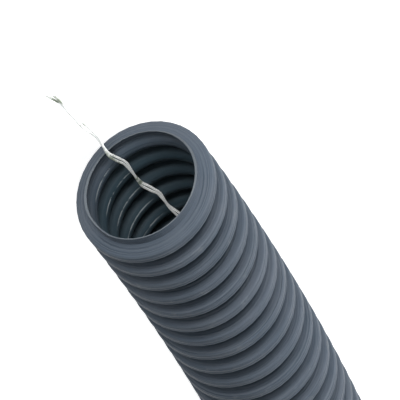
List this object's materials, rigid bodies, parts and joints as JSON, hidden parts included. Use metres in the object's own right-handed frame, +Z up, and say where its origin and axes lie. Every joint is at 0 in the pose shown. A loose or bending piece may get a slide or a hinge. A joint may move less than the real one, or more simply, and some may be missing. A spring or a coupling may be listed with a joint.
{
  "type": "corrugated conduit",
  "caption": "Length of pliable corrugated plastic conduit, slightly curved from its coil, with a twisted steel draw wire lying inside and out past both cut ends.",
  "frame": {"origin": "on the floor, under the middle of the conduit's own box", "axes": "+Y along the chord of the length, from end A to end B; +Z up; the middle of the length bows towards -X"},
  "size_m": [0.1227, 1.0606, 0.0628],
  "materials": {
    "conduit_plastic": "satin moulded plastic, slate grey, fine rings on the crests",
    "draw_wire_steel": "bright galvanised steel, two strands twisted together"
  },
  "bodies": {
    "root": {"conduit": "conduit_plastic", "draw_wire": "draw_wire_steel"}
  },
  "joints": []
}
